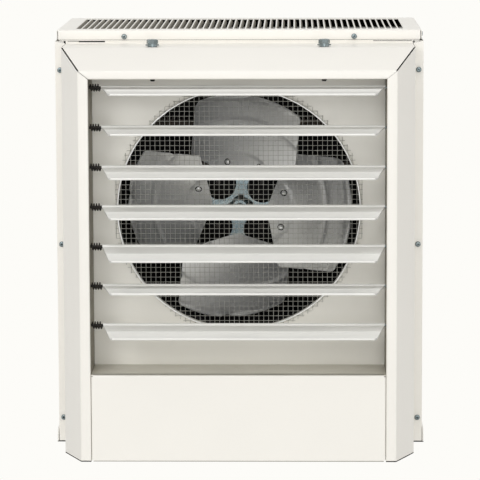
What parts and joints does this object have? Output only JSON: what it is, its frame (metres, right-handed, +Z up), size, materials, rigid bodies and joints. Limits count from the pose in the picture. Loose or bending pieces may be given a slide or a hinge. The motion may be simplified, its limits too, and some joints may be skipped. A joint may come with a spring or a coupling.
{
  "type": "ceiling mounted fan heater",
  "caption": "Ceiling-hung sheet-steel fan heater with a louvred front, a round wire-guarded fan outlet, finned elements, a slotted top and a drop-down wiring door.",
  "frame": {"origin": "centre of the top cover's upper face, which hangs under the ceiling", "axes": "+Z up, +Y to the back, +X to the right of someone who faces the louvres, which look along -Y"},
  "size_m": [0.4836, 0.3879, 0.5628],
  "materials": {
    "almond": "satin powder coat",
    "almond_inside": "satin powder coat",
    "louver_aluminium": "gloss off-white on extruded aluminium",
    "aluminium": "mill",
    "galvanised": "galvanised",
    "zinc": "blue zinc plate",
    "black_steel": "black oxide",
    "dark_enamel": "enamel",
    "element_sheath": "oxidised",
    "black_plastic": "moulded",
    "pale_plastic": "moulded"
  },
  "bodies": {
    "cabinet": {"top_cover": "almond", "left_side_panel": "almond", "right_side_panel": "almond", "rear_panel": "almond", "bottom_pan": "almond", "frame_left": "almond", "frame_right": "almond", "frame_top": "almond", "orifice_panel": "almond_inside", "recess_floor": "almond_inside", "mesh_guard": "galvanised", "guard_rim": "galvanised", "motor_housing": "dark_enamel", "motor_front_bell": "dark_enamel", "motor_rear_bell": "dark_enamel", "motor_bridge": "galvanised", "heating_element_1": "element_sheath", "heating_element_2": "element_sheath", "heating_element_3": "element_sheath", "element_rack_left": "galvanised", "element_rack_right": "galvanised", "thermal_cutout": "black_plastic", "contactor": "black_plastic", "terminal_block": "pale_plastic", "thermostat": "pale_plastic", "conduit_gland": "zinc", "flange_screw_left_top": "zinc", "flange_screw_left_middle": "zinc", "flange_screw_left_bottom": "zinc", "flange_screw_right_top": "zinc", "flange_screw_right_middle": "zinc", "flange_screw_right_bottom": "zinc", "cover_screw_front_left": "zinc", "cover_screw_front_right": "zinc", "cover_screw_left_side": "zinc", "cover_screw_right_side": "zinc", "suspension_bolt_left": "zinc", "suspension_bolt_right": "zinc"},
    "louver_1_body": {"louver_1": "louver_aluminium", "louver_spring_1": "black_steel"},
    "louver_2_body": {"louver_2": "louver_aluminium", "louver_spring_2": "black_steel"},
    "louver_3_body": {"louver_3": "louver_aluminium", "louver_spring_3": "black_steel"},
    "louver_4_body": {"louver_4": "louver_aluminium", "louver_spring_4": "black_steel"},
    "louver_5_body": {"louver_5": "louver_aluminium", "louver_spring_5": "black_steel"},
    "louver_6_body": {"louver_6": "louver_aluminium", "louver_spring_6": "black_steel"},
    "louver_7_body": {"louver_7": "louver_aluminium", "louver_spring_7": "black_steel"},
    "fan": {"fan_hub": "zinc", "fan_blade_1": "aluminium", "fan_blade_2": "aluminium", "fan_blade_3": "aluminium", "fan_blade_4": "aluminium", "motor_shaft": "zinc"},
    "door": {"access_door": "almond"},
    "dial": {"thermostat_knob": "black_plastic"}
  },
  "joints": [
    {"name": "louver_1_tilt", "type": "hinge", "parent": "cabinet", "child": "louver_1_body", "pos_m": [0, -0.222, -0.0659], "axis": [1, 0, 0], "range_deg": [-18.5, 71.5]},
    {"name": "louver_2_tilt", "type": "hinge", "parent": "cabinet", "child": "louver_2_body", "pos_m": [0, -0.222, -0.11677], "axis": [1, 0, 0], "range_deg": [-18, 72]},
    {"name": "louver_3_tilt", "type": "hinge", "parent": "cabinet", "child": "louver_3_body", "pos_m": [0, -0.222, -0.16764], "axis": [1, 0, 0], "range_deg": [-25, 65]},
    {"name": "louver_4_tilt", "type": "hinge", "parent": "cabinet", "child": "louver_4_body", "pos_m": [0, -0.222, -0.21851], "axis": [1, 0, 0], "range_deg": [-25, 65]},
    {"name": "louver_5_tilt", "type": "hinge", "parent": "cabinet", "child": "louver_5_body", "pos_m": [0, -0.222, -0.26938], "axis": [1, 0, 0], "range_deg": [-30, 60]},
    {"name": "louver_6_tilt", "type": "hinge", "parent": "cabinet", "child": "louver_6_body", "pos_m": [0, -0.222, -0.32025], "axis": [1, 0, 0], "range_deg": [-16.5, 73.5]},
    {"name": "louver_7_tilt", "type": "hinge", "parent": "cabinet", "child": "louver_7_body", "pos_m": [0, -0.222, -0.37112], "axis": [1, 0, 0], "range_deg": [-26, 64]},
    {"name": "fan_spin", "type": "hinge", "parent": "cabinet", "child": "fan", "pos_m": [0, -0.1013, -0.2341], "axis": [0, 1, 0], "continuous": true},
    {"name": "access_door_swing", "type": "hinge", "parent": "cabinet", "child": "door", "pos_m": [0, -0.236, -0.539], "axis": [1, 0, 0], "range_deg": [0, 95]},
    {"name": "thermostat_knob_turn", "type": "hinge", "parent": "cabinet", "child": "dial", "pos_m": [0.146, -0.062, -0.5453], "axis": [0, 0, -1], "range_deg": [0, 270]}
  ]
}
